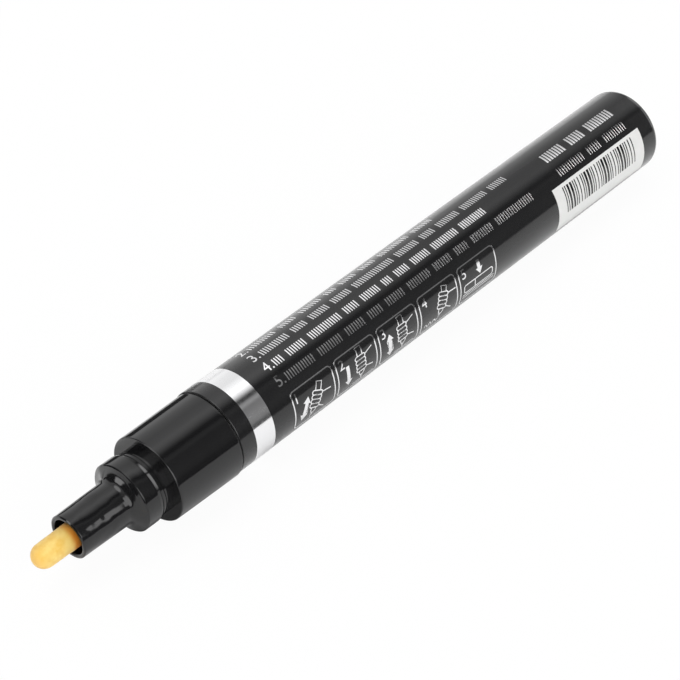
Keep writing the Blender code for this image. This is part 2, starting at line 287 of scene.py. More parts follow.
class Finish(Graph):
    """A material on the marker's own coordinates."""

    def __init__(self, name):
        self.material = bpy.data.materials.new(name)
        self.material.use_nodes = True
        super().__init__(self.material.node_tree)
        self.shader = self.tree.nodes["Principled BSDF"]
        self.place = self.add("ShaderNodeTexCoord").outputs["Object"]

    def fix(self, **values):
        """Values that are the same all over the surface."""
        for key, value in values.items():
            self.shader.inputs[key.replace("_", " ")].default_value = value

    def drive(self, socket, source):
        self.link(source, self.shader.inputs[socket])

    def stretched(self, scale):
        node = self.add("ShaderNodeMapping")
        node.inputs["Scale"].default_value = scale
        self.link(self.place, node.inputs["Vector"])
        return node.outputs["Vector"]

    def noise(self, size_mm, detail=3.0, roughness=0.5, vector=None):
        node = self.add("ShaderNodeTexNoise")
        node.inputs["Scale"].default_value = 1 / (size_mm * MM)
        node.inputs["Detail"].default_value = detail
        node.inputs["Roughness"].default_value = roughness
        self.link(vector or self.place, node.inputs["Vector"])
        return node.outputs["Fac"]

    def bump(self, height, depth_mm, strength=1.0, under=None):
        node = self.add("ShaderNodeBump")
        node.inputs["Strength"].default_value = strength
        node.inputs["Distance"].default_value = depth_mm * MM
        self.link(height, node.inputs["Height"])
        if under:
            self.link(under, node.inputs["Normal"])
        self.link(node.outputs["Normal"], self.shader.inputs["Normal"])
        return node.outputs["Normal"]


def black_lacquer():
    """Sprayed lacquer on a drawn can: deep black, glossy, with a faint orange peel."""
    g = Finish("black_lacquer")
    g.fix(IOR=1.5, Sheen_Weight=0.6, Sheen_Roughness=0.35)
    cloud = g.noise(6.0, 2.0)
    g.drive("Base Color", g.mix(cloud, (0.0055, 0.0055, 0.006), (0.0085, 0.0085, 0.009)))
    g.drive("Roughness", g.spread(g.noise(1.6, 4.0), 0.10, 0.14))
    g.bump(g.noise(0.9, 2.0), 0.002, 0.35)
    return g.material


def along(start, reach):
    """Places in metres, from millimetres past a start."""
    return [start + step * MM for step in reach]


def black_moulding():
    """Polished black plastic: even on the grip, with sink marks and a slight waist on the nose."""
    g = Finish("black_moulding")
    g.fix(IOR=1.5)
    g.drive("Base Color", g.mix(g.noise(3.0), (0.0055, 0.0055, 0.006), (0.008, 0.008, 0.0085)))
    g.drive("Roughness", g.spread(g.noise(2.2, 5.0), 0.05, 0.10))
    x, _, _ = g.axes(g.place)
    base = MOUTH_X - NOSE_REAR * MM
    mouth = MOUTH_X - NOSE_MOUTH * MM
    nose = g.spread(x, 1.0, SINK_ON_GRIP, *along(base, SINK_FADE))
    sinks = g.math("MULTIPLY", g.noise(3.0, 1.0), nose)
    waist_from, waist_to = mouth + WAIST_FROM_MOUTH * MM, base + WAIST_PAST_FOOT * MM
    waist = g.spread(x, 0.0, 1.0, waist_from, waist_to, soft=True)
    g.bump(sinks, SINK_DEPTH, 1.0, g.bump(waist, WAIST_DEPTH))
    return g.material


def pressed_felt():
    """Cream-yellow fibre with streaks along the rod and paler patches. It is soaked with ink at its
    end, painted darker near the mouth as shade, and stained at the mouth."""
    deep, pale, streak = (0.79, 0.485, 0.085), (0.87, 0.63, 0.19), (0.89, 0.68, 0.26)
    soaked_tone, painted_shade_tone = (0.80, 0.36, 0.03), (0.56, 0.36, 0.075)
    stain_tone = (0.54, 0.165, 0.004)
    g = Finish("pressed_felt")
    g.fix(Roughness=0.9, Sheen_Roughness=0.5, IOR=1.4)
    fibres = g.noise(0.10, 3.0, 0.6, g.stretched((0.16, 1.0, 1.0)))
    patches = g.noise(1.4, 3.0)
    body = g.mix(g.spread(patches, 0.0, 1.0, 0.36, 0.64), deep, pale)
    streaked = g.mix(g.spread(fibres, 0.0, 0.4, 0.42, 0.75), body, streak)
    mouth = MOUTH_X - NOSE_MOUTH * MM
    tip = MOUTH_X - NIB_TIP * MM
    x, y, _ = g.axes(g.place)
    stain = g.spread(x, 0.0, 1.0, *along(mouth, STAIN_REACH), soft=True)
    stain = g.math("MULTIPLY", stain, g.spread(y, 0.95, 0.5, *along(0.0, STAIN_SIDES)))
    g.drive("Sheen Weight", g.spread(stain, 0.4, 0.05, 0.0, 0.8))
    soaked = g.spread(x, 0.6, 0.0, *along(tip, SOAKED_REACH))
    worn = g.mix(g.math("MULTIPLY", soaked, patches), streaked, soaked_tone)
    # Painted shade: the felt's colour is darkened toward the nose's mouth
    painted_shade = g.spread(x, 0.0, 0.55, *along(mouth, PAINTED_SHADE_REACH))
    worn = g.mix(painted_shade, worn, painted_shade_tone)
    g.drive("Base Color", g.mix(stain, worn, stain_tone))
    g.bump(fibres, 0.03, 0.5, g.bump(g.noise(0.5, 3.0), 0.03, 0.4))
    return g.material


def silver_print():
    """Metallic ink with a fine flake, under the same clear varnish as the barrel."""
    g = Finish("silver_print")
    g.fix(Metallic=1.0, Coat_Weight=0.3, Coat_Roughness=0.08)
    flake = g.noise(0.12, 2.0)
    g.drive("Base Color", g.mix(flake, (0.86, 0.86, 0.87), (0.95, 0.95, 0.96)))
    g.drive("Roughness", g.spread(g.noise(0.8), 0.08, 0.14))
    return g.material


def white_print():
    """Opaque white ink, a little uneven."""
    g = Finish("white_print")
    g.fix(IOR=1.5, Roughness=0.25)
    g.drive("Base Color", g.mix(g.noise(0.7, 4.0), (0.66, 0.66, 0.65), (0.72, 0.72, 0.71)))
    return g.material


def plain_finish(name, dark, light, size_mm, roughness, metallic=0.0):
    """A moulded, rubber or steel finish: a mottled colour, uneven gloss and a fine grain."""
    g = Finish(name)
    g.fix(Metallic=metallic)
    mottle = g.noise(size_mm, 4.0)
    g.drive("Base Color", g.mix(mottle, dark, light))
    g.drive("Roughness", g.spread(g.noise(size_mm * 0.6, 3.0), *roughness))
    g.bump(g.noise(size_mm * 0.15, 2.0), size_mm * 0.004, 0.4)
    return g.material


# Turned pieces


def show(name, bm, finish, body, stands_for=()):
    """An object at the origin for a mesh that is already in its place, riding on a body."""
    mesh = bpy.data.meshes.new(name)
    bm.to_mesh(mesh)
    bm.free()
    mesh.shade_smooth()
    mesh.set_sharp_from_angle(angle=SMOOTH_ANGLE)
    mesh.materials.append(finish)
    item = bpy.data.objects.new(name, mesh)
    bpy.context.scene.collection.objects.link(item)
    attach(item, body)
    if stands_for:
        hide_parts(*stands_for)
    return item


def profile(bm, corners, closed):
    """A wire of (height, radius) corners. A third number rounds the corner with that radius."""
    verts = [bm.verts.new((corner[1], 0, corner[0])) for corner in corners]
    pairs = list(zip(verts, verts[1:]))
    if closed:
        pairs.append((verts[-1], verts[0]))
    for pair in pairs:
        bm.edges.new(pair)
    reaches = []
    for index, corner in enumerate(corners):
        if len(corner) == 3:
            here = verts[index].co
            back = verts[index - 1].co - here
            ahead = verts[(index + 1) % len(verts)].co - here
            turn = math.pi - back.angle(ahead)
            reaches.append((verts[index], corner[2] * math.tan(turn / 2), turn))
    for vert, reach, turn in reaches:
        bmesh.ops.bevel(
            bm, geom=[vert], offset=reach, affect="VERTICES",
            segments=max(2, math.ceil(turn / ARC_STEP)), profile=0.5, material=-1,
        )


def spun(corners, sides=FINE_SIDES, closed=True):
    """A profile spun about the axis, in millimetres, welded and pointing out."""
    bm = bmesh.new()
    profile(bm, corners, closed)
    bmesh.ops.spin(
        bm, geom=bm.verts[:] + bm.edges[:], cent=(0, 0, 0), axis=(0, 0, 1),
        angle=2 * math.pi, steps=sides, use_merge=True,
    )
    bmesh.ops.remove_doubles(bm, verts=bm.verts, dist=WELD)
    bmesh.ops.recalc_face_normals(bm, faces=bm.faces)
    return bm


def on_axis(bm):
    """Takes a mesh from the axis's millimetres to its place in the marker."""
    bmesh.ops.transform(bm, matrix=MARKER_AXIS, verts=bm.verts)
    return bm


def barrel():
    corners = [
        (TAIL, 0),
        (TAIL, BARREL_R, TAIL_ROUND),
        (0, BARREL_R, BARREL_MOUTH_ROUND),
        (0, BARREL_BORE),
        (TAIL_FLOOR, BARREL_BORE, TAIL_FLOOR_ROUND),
        (TAIL_FLOOR, 0),
    ]
    bm = on_axis(spun(corners, closed=False))
    show("barrel_can", bm, black_lacquer(), "casing", ["barrel"])


def straight(first, second, shares):
    """A corner, then plain ones on the way to the next that keep the face straight between them."""
    spots = [
        tuple(a + (b - a) * share for a, b in zip(first[:2], second[:2])) for share in shares
    ]
    return [first, *spots]


def tip_moulding():
    ribs = []
    for middle in SEAL_RIBS:
        ribs += [
            (middle + SEAL_RIB_HALF, SPIGOT_R),
            (middle + SEAL_RIB_HALF / 2, SEAL_RIB_R, SEAL_RIB_ROUND),
            (middle - SEAL_RIB_HALF / 2, SEAL_RIB_R, SEAL_RIB_ROUND),
            (middle - SEAL_RIB_HALF, SPIGOT_R),
        ]
    lip = (LIP_CHAMFER, NOSE_MOUTH_R, LIP_ROUND)
    foot = (NOSE_REAR, NOSE_BASE_R, FOOT_ROUND)
    bell = (BELL, BELL_R, BELL_ROUND)
    rim = (SEAT_FRONT, SEAT_FRONT_R, SEAT_ROUND)
    seat = (SEAT_EDGE, SEAT_R, SEAT_ROUND)
    snap = (SNAP_FRONT, SEAT_R, SNAP_FRONT_ROUND)
    grip_front = (CAP_STOP, GRIP_FRONT_R, CAP_STOP_ROUND)
    grip_rear = (GRIP_REAR, GRIP_REAR_R, GRIP_REAR_ROUND)
    corners = [
        (NOSE_MOUTH, NOSE_BORE, NOSE_BORE_ROUND),
        (NOSE_MOUTH, LIP_R, LIP_ROUND),
        *straight(lip, foot, LIP_SUPPORTS),
        *straight(foot, bell, FOOT_SUPPORTS),
        *straight(bell, rim, BELL_SUPPORTS),
        *straight(rim, seat, SEAT_CHAMFER_SUPPORTS),
        *straight(seat, snap, SEAT_SUPPORTS),
        snap,
        (SNAP_REAR, SNAP_R, SNAP_REAR_ROUND),
        (NECK_LEDGE, NECK_LEDGE_R, NECK_ROUND),
        (NECK_END, NECK_R, NECK_ROUND),
        (CAP_STOP, NECK_R),
        *straight(grip_front, grip_rear, GRIP_SUPPORTS),
        grip_rear,
        (GRIP_REAR, SPIGOT_R, SPIGOT_ROOT_ROUND),
        *ribs,
        (SPIGOT_END, SPIGOT_R, SPIGOT_END_ROUND),
        (SPIGOT_END, SOCKET_R, SOCKET_MOUTH_ROUND),
        (SOCKET_FRONT, SOCKET_R),
        (SOCKET_FRONT, CHAMBER_R, CHAMBER_REAR_ROUND),
        (CHAMBER_FRONT, CHAMBER_R, CHAMBER_FRONT_ROUND),
        (GUIDE_REAR, NOSE_BORE, GUIDE_ROUND),
    ]
    bm = spun(corners)
    guide_ribs(bm)
    set_askew(bm)
    finish = black_moulding()
    show("tip_moulding", on_axis(bm), finish, "casing", ["tip_holder"])


def guide_ribs(bm):
    """Ribs that hold the nib in the middle of the nose, drawn inward from the bore's own faces."""
    near_bore = NOSE_BORE + BORE_CUT_MARGIN
    for height in (RIB_REAR, RIB_FRONT):
        bore = [face for face in bm.faces if face.calc_center_median().xy.length < near_bore]
        geom = {item for face in bore for item in (face, *face.edges, *face.verts)}
        bmesh.ops.bisect_plane(
            bm, geom=list(geom), dist=WELD, plane_co=(0, 0, height), plane_no=(0, 0, 1)
        )
    for index in range(RIB_COUNT):
        middle = 2 * math.pi * index / RIB_COUNT
        faces = []
        for face in bm.faces:
            spot = face.calc_center_median()
            offset = (math.atan2(spot.y, spot.x) - middle + math.pi) % (2 * math.pi) - math.pi
            if (
                abs(spot.xy.length - NOSE_BORE) < BORE_FACE_MARGIN
                and RIB_REAR < spot.z < RIB_FRONT
                and abs(offset) < RIB_HALF_ANGLE
            ):
                faces.append(face)
        made = bmesh.ops.extrude_face_region(bm, geom=faces)["geom"]
        bmesh.ops.delete(bm, geom=faces, context="FACES")
        share = RIB_R / NOSE_BORE
        verts = [item for item in made if isinstance(item, bmesh.types.BMVert)]
        bmesh.ops.scale(bm, vec=(share, share, 1), verts=verts)
    bmesh.ops.recalc_face_normals(bm, faces=bm.faces)


def set_askew(bm):
    """Leans the grip off the barrel's axis, as the pressed-in front sits. The mouth stays on it."""
    lean = Matrix.Identity(4)
    lean[1][2] = GRIP_ASKEW / (NOSE_MOUTH - GRIP_REAR)
    lean[1][3] = -lean[1][2] * NOSE_MOUTH
    front = [
        vert for vert in bm.verts
        if vert.co.z > SOCKET_FRONT + WELD
        or (vert.co.z > GRIP_REAR - WELD and vert.co.xy.length > SPIGOT_R + WELD)
    ]
    bmesh.ops.transform(bm, matrix=lean, verts=front)


def felt_nib():
    corners = [
        (NIB_TIP, 0),
        (NIB_TIP, NIB_TIP_R, NIB_TIP_R - NIB_TIP_FLAT),
        (NOSE_MOUTH, NIB_R),
        (NIB_REAR, NIB_R, NIB_REAR_ROUND),
        (NIB_REAR, 0),
    ]
    bm = spun(corners, NIB_SIDES, closed=False)
    bare = [
        edge for edge in bm.edges
        if abs(edge.verts[0].co.z - edge.verts[1].co.z) > NIB_LONG_EDGE
    ]
    bmesh.ops.subdivide_edges(bm, edges=bare, cuts=NIB_CUTS, use_grid_fill=True)
    for vert in bm.verts:
        radial = Vector((vert.co.x, vert.co.y, 0))
        if radial.length > AXIS_MARGIN and vert.co.z > NOSE_MOUTH:
            lump = sum(noise.noise(vert.co * rate) * height for rate, height in NIB_LUMPS)
            vert.co += radial.normalized() * lump
    finish = pressed_felt()
    show("felt_nib", on_axis(bm), finish, "nib_and_plunger", ["nib"])


def valve_pieces():
    """The spring valve inside the tip: cup, seal, plunger, spring, cage, and the mixing ball."""
    white = plain_finish(
        "natural_plastic", (0.74, 0.74, 0.71), (0.83, 0.83, 0.81), 1.5, (0.35, 0.5)
    )
    grey = plain_finish("grey_plastic", (0.40, 0.40, 0.41), (0.48, 0.48, 0.49), 1.5, (0.35, 0.5))
    rubber = plain_finish("seal_rubber", (0.02, 0.02, 0.02), (0.04, 0.04, 0.04), 0.4, (0.6, 0.8))
    wire = plain_finish(
        "spring_wire", (0.48, 0.48, 0.49), (0.60, 0.60, 0.61), 0.3, (0.22, 0.36), 1.0
    )
    polish = plain_finish(
        "ball_polish", (0.58, 0.58, 0.59), (0.66, 0.66, 0.67), 0.8, (0.08, 0.16), 1.0
    )
    bm = on_axis(spun(VALVE_CUP, INNER_SIDES))
    show("valve_cup", bm, white, "casing", ["valve_body"])
    bm = on_axis(spun(SEAL_WASHER, INNER_SIDES))
    show("seal_washer", bm, rubber, "nib_and_plunger", ["valve_seal"])
    bm = on_axis(spun(PLUNGER, INNER_SIDES, closed=False))
    show("valve_plunger_pin", bm, white, "nib_and_plunger", ["valve_plunger"])
    coil_spring(wire)
    slotted_cage(grey)
    ball_low, ball_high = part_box("mixing_ball")
    bm = bmesh.new()
    bmesh.ops.create_icosphere(
        bm, subdivisions=BALL_DETAIL, radius=(ball_high.x - ball_low.x) / 2,
        matrix=Matrix.Translation((ball_low + ball_high) / 2),
    )
    show("stirring_ball", bm, polish, "loose_ball", ["mixing_ball"])


def coil_spring(finish):
    """A wire ring wound up the axis between the cage's floor and the plunger's head."""
    bottom, top = SPRING_BOTTOM, SPRING_TOP
    steps = COIL_TURNS * COIL_STEPS
    rise = (top - bottom - 2 * WIRE_R) / steps
    bm = bmesh.new()
    place = Matrix.Translation((COIL_R, 0, bottom + WIRE_R)) @ Matrix.Rotation(math.pi / 2, 4, "X")
    ring = bmesh.ops.create_circle(
        bm, cap_ends=True, radius=WIRE_R, segments=WIRE_SIDES, matrix=place
    )
    faces = list({face for vert in ring["verts"] for face in vert.link_faces})
    bmesh.ops.spin(
        bm, geom=faces, cent=(0, 0, 0), axis=(0, 0, 1), dvec=(0, 0, rise),
        angle=2 * math.pi * COIL_TURNS, steps=steps,
    )
    bmesh.ops.recalc_face_normals(bm, faces=bm.faces)
    spring = show(
        "coil_spring", on_axis(bm), finish, "casing", ["valve_spring"]
    )
    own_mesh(spring)


def slotted_cage(finish):
    """The valve's rear plug, cut by ink slots."""
    slots = bmesh.new()
    for index in range(SLOT_COUNT):
        turn = Matrix.Rotation(2 * math.pi / SLOT_COUNT * index, 4, "Z")
        spot = turn @ Matrix.Translation(SLOT_MIDDLE) @ Matrix.Diagonal((*SLOT_SIZE, 1))
        bmesh.ops.create_cube(slots, size=1.0, matrix=spot)
    cutter = bpy.data.meshes.new("ink_slot_cutter")
    on_axis(slots).to_mesh(cutter)
    slots.free()
    tool = bpy.data.objects.new("ink_slot_cutter", cutter)
    bpy.context.scene.collection.objects.link(tool)
    solid = bpy.data.meshes.new("cage_blank")
    blank = on_axis(spun(CAGE, INNER_SIDES))
    blank.to_mesh(solid)
    blank.free()
    uncut = bpy.data.objects.new("cage_blank", solid)
    bpy.context.scene.collection.objects.link(uncut)
    cut = uncut.modifiers.new("ink_slots", "BOOLEAN")
    cut.operation = "DIFFERENCE"
    cut.object = tool
    bm = flat_mesh(uncut)
    bpy.data.objects.remove(tool)
    bmesh.ops.remove_doubles(bm, verts=bm.verts, dist=WELD * MM)
    show("slotted_cage", bm, finish, "casing", ["spring_cage"])


# Prints


def flat_mesh(item):
    """The finished mesh of a helper object, which is then removed."""
    graph = bpy.context.evaluated_depsgraph_get()
    mesh = bpy.data.meshes.new_from_object(item.evaluated_get(graph))
    bm = bmesh.new()
    bm.from_mesh(mesh)
    bpy.data.meshes.remove(mesh)
    bpy.data.objects.remove(item)
    return bm


def lines(strokes, width):
    """Flat ink lines. A stroke is a list of points, closed where it ends on its first point."""
    ink = bpy.data.curves.new("ink_lines", "CURVE")
    ink.dimensions = "3D"
    ink.bevel_depth = width / 2
    ink.bevel_resolution = 1
    ink.use_fill_caps = True
    for stroke in strokes:
        loop = stroke[0] == stroke[-1]
        points = stroke[:-1] if loop else stroke
        spline = ink.splines.new("POLY")
        spline.points.add(len(points) - 1)
        spline.use_cyclic_u = loop
        for spot, point in zip(spline.points, points):
            spot.co = (*point, 0.0, 1.0)
    item = bpy.data.objects.new("ink_lines", ink)
    bpy.context.scene.collection.objects.link(item)
    bm = flat_mesh(item)
    bmesh.ops.remove_doubles(bm, verts=bm.verts, dist=WELD)
    bmesh.ops.scale(bm, vec=(1, 1, (PRINT_RISE + PRINT_SINK) / width), verts=bm.verts)
    return bm


def digits(body, x, baseline, height):
    """A plain number, standing on its baseline, as a thin slab."""
    words = bpy.data.curves.new("number", "FONT")
    words.body = body
    words.extrude = (PRINT_RISE + PRINT_SINK) / 2
    item = bpy.data.objects.new("number", words)
    bpy.context.scene.collection.objects.link(item)
    bm = flat_mesh(item)
    bmesh.ops.remove_doubles(bm, verts=bm.verts, dist=WELD)
    top = max(vert.co.y for vert in bm.verts)
    left = min(vert.co.x for vert in bm.verts)
    share = height / top
    bmesh.ops.translate(bm, vec=(-left, 0, 0), verts=bm.verts)
    bmesh.ops.scale(bm, vec=(share, share, 1), verts=bm.verts)
    bmesh.ops.translate(bm, vec=(x, baseline, 0), verts=bm.verts)
    return bm


def joined(parts):
    """Several meshes as one."""
    whole = bmesh.new()
    for part in parts:
        mesh = bpy.data.meshes.new("part")
        part.to_mesh(mesh)
        part.free()
        whole.from_mesh(mesh)
        bpy.data.meshes.remove(mesh)
    return whole


def wrap(bm):
    """Bends a flat print round the barrel: cut in narrow strips, then laid on the round."""
    low = min(vert.co.y for vert in bm.verts)
    high = max(vert.co.y for vert in bm.verts)
    for step in range(math.ceil(low / WRAP_STEP), math.floor(high / WRAP_STEP) + 1):
        geom = bm.verts[:] + bm.edges[:] + bm.faces[:]
        bmesh.ops.bisect_plane(
            bm, geom=geom, dist=WELD, plane_co=(0, step * WRAP_STEP, 0), plane_no=(0, 1, 0)
        )
    bmesh.ops.recalc_face_normals(bm, faces=bm.faces)
    for vert in bm.verts:
        radius = BARREL_R + (PRINT_RISE - PRINT_SINK) / 2 + vert.co.z
        angle = vert.co.y / BARREL_R
        spot = Vector((vert.co.x, radius * math.sin(angle), radius * math.cos(angle)))
        vert.co = spot * MM + Vector((0, 0, AXIS_Z))
    return bm


# Direction rows: number, baseline y, x of the end, and the pairs of ticks in each group
ROW_START = -22.0
NUMBER_START = -24.0
NUMBER_HEIGHT = 1.82
TICK_HEIGHT = 1.4
TICK_WIDTH = 0.215
ROWS = [
    ("1.", 5.92, 30.0, (5, 3, 3, 4, 6, 5, 3, 4, 7)),
    ("2.", 3.09, 21.1, (5, 3, 4, 2, 3, 3, 6, 4)),
    ("3.", 0.26, 37.0, (6, 3, 4, 4, 9, 5, 3, 5, 6, 4)),
    ("4.", -2.57, 28.3, (2, 4, 7, 3, 4, 2, 3, 4, 6, 6)),
    ("5.", -5.47, 37.8, (6, 5, 4, 3, 4, 5, 4, 3, 5, 9)),
]
# Rows by the tail: baseline y, x of both ends, height and width of a tick, and the groups
TAIL_ROWS = [
    (-1.83, 45.1, 63.6, 2.0, 0.39, (4, 3, 5)),
    (-5.1, 45.1, 63.6, 1.6, 0.2, (6, 3, 5)),
]


def tick_groups(start, end, baseline, height, groups):
    """Upright ticks of one height, two to a cell, in groups with an empty cell between."""
    cells = sum(groups) + len(groups) - 1
    pitch = (end - start) / cells
    strokes = []
    cell = 0
    for count in groups:
        for half in range(2 * count):
            x = start + pitch * (cell + half / 2 + 0.25)
            strokes.append([(x, baseline), (x, baseline + height)])
        cell += count + 1
    return strokes


def direction_rows(ink):
    parts = []
    for number, baseline, end, groups in ROWS:
        parts.append(digits(number, NUMBER_START, baseline, NUMBER_HEIGHT))
        ticks = tick_groups(ROW_START, end, baseline, TICK_HEIGHT, groups)
        parts.append(lines(ticks, TICK_WIDTH))
    show("direction_rows", wrap(joined(parts)), ink, "casing")


def tail_rows(ink):
    parts = [
        lines(tick_groups(start, end, baseline, height, groups), width)
        for baseline, start, end, height, width, groups in TAIL_ROWS
    ]
    show("tail_rows", wrap(joined(parts)), ink, "casing")


# Step pictures: frames in a row, each with its number and a small drawing
FRAME_LEFT = -23.1
FRAME_PITCH = 9.82
FRAME_WIDTH = 8.95
FRAME_TOP = -7.25
FRAME_BOTTOM = -14.5
FRAME_ROUND = 0.7
FRAME_LINE = 0.22
PICTURE_LINE = 0.2
NUMBER_IN_FRAME = 1.7
NUMBER_FROM_LEFT, NUMBER_FROM_TOP = 0.7, 0.5
CORNER_STEPS = 5
WAVE_STEPS = 8
# The drawn marker, upright on its nib, with the hand that holds it
DRAWN_HALF, DRAWN_NECK = 0.55, 0.3
DRAWN_NIB = [(-0.2, 0.9), (0.0, 0.1), (0.2, 0.9), (-0.2, 0.9)]
DRAWN_FRONT, DRAWN_SHOULDER = 1.1, 1.55
HOLD_LOW, HOLD_HIGH = 2.0, 4.9
FINGERS = 4
FINGER_LEFT, FINGER_RIGHT = -1.15, 1.05
WRIST_INSET = 0.3
WRIST_LOW, WRIST_HIGH = (2.6, 1.9), (2.8, 5.2)
# Per picture: place, lean and length of the held marker, and of the arrow with one head or two
PICTURES = [
    ((3.2, 0.4, -26, 6.4), (1.3, 1.2, -26, 4.2, True)),
    ((5.3, 0.5, 0, 6.4), (2.3, 1.3, 0, 3.8, False)),
    ((5.3, 0.5, 0, 6.4), (2.3, 0.9, 0, 4.3, True)),
    ((4.1, 1.0, -22, 5.9), None),
    (None, (4.9, 4.1, 0, 2.5, False)),
]
# What else is drawn: the surface under the nib, a written wave, and a marker that lies on a shelf
SURFACE = [(3.4, 0.5), (8.2, 0.5)]
WRITTEN = (0.9, 4.0, 1.2, 3, 0.35)
LYING_BODY = (0.9, 2.2, 8.0, 3.7, 0.45)
LYING_SEAM = [(3.6, 2.2), (3.6, 3.7)]
SHELF = [[(0.6, 1.8), (8.4, 1.8)], [(0.6, 1.3), (8.4, 1.3)]]


def rounded_box(left, bottom, right, top, radius):
    """A closed outline with round corners."""
    points = []
    for x, y, quarter in (
        (right - radius, top - radius, 0), (left + radius, top - radius, 1),
        (left + radius, bottom + radius, 2), (right - radius, bottom + radius, 3),
    ):
        for step in range(CORNER_STEPS + 1):
            angle = (quarter + step / CORNER_STEPS) * math.pi / 2
            points.append((x + radius * math.cos(angle), y + radius * math.sin(angle)))
    return points + points[:1]


def moved(stroke, x, y, lean=0):
    """A stroke turned about its own origin by some degrees and then shifted."""
    turn = math.radians(lean)
    c, s = math.cos(turn), math.sin(turn)
    points = [(x + c * px - s * py, y + s * px + c * py) for px, py in stroke]
    return points[:-1] + points[:1] if stroke[0] == stroke[-1] else points


def held_marker(length):
    """A marker that stands on its nib at the origin, in the loops of a hand's fingers."""
    half, neck = DRAWN_HALF, DRAWN_NECK
    front = [
        (-half, HOLD_LOW), (-half, DRAWN_SHOULDER), (-neck, DRAWN_FRONT),
        (neck, DRAWN_FRONT), (half, DRAWN_SHOULDER), (half, HOLD_LOW),
    ]
    back = [(-half, HOLD_HIGH), (-half, length), (half, length), (half, HOLD_HIGH)]
    pitch = (HOLD_HIGH - HOLD_LOW) / FINGERS
    fingers = [
        rounded_box(
            FINGER_LEFT, HOLD_LOW + pitch * i, FINGER_RIGHT, HOLD_LOW + pitch * (i + 1), pitch / 2
        )
        for i in range(FINGERS)
    ]
    wrist = [
        [(FINGER_RIGHT, HOLD_LOW + WRIST_INSET), WRIST_LOW],
        [(FINGER_RIGHT, HOLD_HIGH - WRIST_INSET), WRIST_HIGH],
    ]
    return [DRAWN_NIB, front, back, *fingers, *wrist]


def block_arrow(length, both_ends):
    """The outline of a wide arrow along y, pointing down to the origin, or both ways."""
    half, head, barb = 0.36, 1.1, 0.82
    right = [(0, 0), (barb, head), (half, head)]
    if both_ends:
        right += [(half, length - head), (barb, length - head), (0, length)]
    else:
        right += [(half, length)]
    left = [(-x, y) for x, y in reversed(right) if x]
    return right + left + right[:1]


def wave(start, end, y, swings, height):
    """A wavy line from start to end."""
    steps = swings * WAVE_STEPS
    return [
        (start + (end - start) * i / steps, y + height * math.sin(2 * math.pi * i / WAVE_STEPS))
        for i in range(steps + 1)
    ]


def picture(index):
    """The lines and the filled arrow of one step, from the frame's lower left corner."""
    held, pointer = PICTURES[index]
    drawn, arrow = [], None
    if held:
        x, y, lean, length = held
        drawn = [moved(stroke, x, y, lean) for stroke in held_marker(length)]
    if pointer:
        x, y, lean, length, both_ends = pointer
        arrow = moved(block_arrow(length, both_ends), x, y, lean)
    lying = [rounded_box(*LYING_BODY), LYING_SEAM, *SHELF]
    beside = ([], [SURFACE], [SURFACE], [wave(*WRITTEN)], lying)
    return drawn + beside[index], arrow


def filled(outline):
    """A flat shape of solid ink."""
    bm = bmesh.new()
    bm.faces.new([bm.verts.new((*point, 0)) for point in outline[:-1]])
    bmesh.ops.triangulate(bm, faces=bm.faces)
    return thickened(bm)


def thickened(bm):
    """Gives a flat print its thickness, to both sides of its plane."""
    thickness = PRINT_RISE + PRINT_SINK
    bmesh.ops.translate(bm, vec=(0, 0, -thickness / 2), verts=bm.verts)
    made = bmesh.ops.extrude_face_region(bm, geom=bm.faces[:], use_keep_orig=True)["geom"]
    verts = [item for item in made if isinstance(item, bmesh.types.BMVert)]
    bmesh.ops.translate(bm, vec=(0, 0, thickness), verts=verts)
    return bm


def step_pictures(ink):
    frames, drawings, arrows, numbers = [], [], [], []
    for index in range(len(PICTURES)):
        left = FRAME_LEFT + index * FRAME_PITCH
        frames.append(
            rounded_box(left, FRAME_BOTTOM, left + FRAME_WIDTH, FRAME_TOP, FRAME_ROUND)
        )
        drawn, arrow = picture(index)
        drawings += [moved(stroke, left, FRAME_BOTTOM) for stroke in drawn]
        if arrow:
            arrows.append(filled(moved(arrow, left, FRAME_BOTTOM)))
        low = FRAME_TOP - NUMBER_FROM_TOP - NUMBER_IN_FRAME
        start = left + NUMBER_FROM_LEFT
        numbers.append(digits(str(index + 1), start, low, NUMBER_IN_FRAME))
    show("step_frames", wrap(lines(frames, FRAME_LINE)), ink, "casing")
    show("step_drawings", wrap(lines(drawings, PICTURE_LINE)), ink, "casing")
    show("step_arrows", wrap(joined(arrows)), ink, "casing")
    show("step_numbers", wrap(joined(numbers)), ink, "casing")


# Bar label: a white patch with unprinted bars
LABEL = (41.95, -14.6, 65.75, -6.1)
BARS = (44.2, -11.5, 63.2, -6.7)
BAR_COUNT = 28


def bar_cuts(left, right):
    """The edges of bars and spaces from left to right, one to three units wide by turns."""
    widths = [1 + (3 * i * i + 5 * i) % 7 // 3 for i in range(2 * BAR_COUNT + 1)]
    unit = (right - left) / sum(widths)
    cuts = [left]
    for width in widths:
        cuts.append(cuts[-1] + width * unit)
    return cuts


def bar_label(ink):
    left, bottom, right, top = LABEL
    bar_left, bar_bottom, bar_right, bar_top = BARS
    bm = bmesh.new()
    corners = [(left, bottom), (right, bottom), (right, top), (left, top)]
    bm.faces.new([bm.verts.new((*corner, 0)) for corner in corners])
    cuts = bar_cuts(bar_left, bar_right)
    planes = [((x, 0, 0), (1, 0, 0)) for x in cuts]
    planes += [((0, y, 0), (0, 1, 0)) for y in (bar_bottom, bar_top)]
    for spot, facing in planes:
        geom = bm.verts[:] + bm.edges[:] + bm.faces[:]
        bmesh.ops.bisect_plane(bm, geom=geom, dist=WELD, plane_co=spot, plane_no=facing)
    bars = []
    for face in bm.faces:
        middle = face.calc_center_median()
        spans = zip(cuts[0::2], cuts[1::2])
        if bar_bottom < middle.y < bar_top and any(low < middle.x < high for low, high in spans):
            bars.append(face)
    bmesh.ops.delete(bm, geom=bars, context="FACES")
    show("bar_label", wrap(thickened(bm)), ink, "casing")


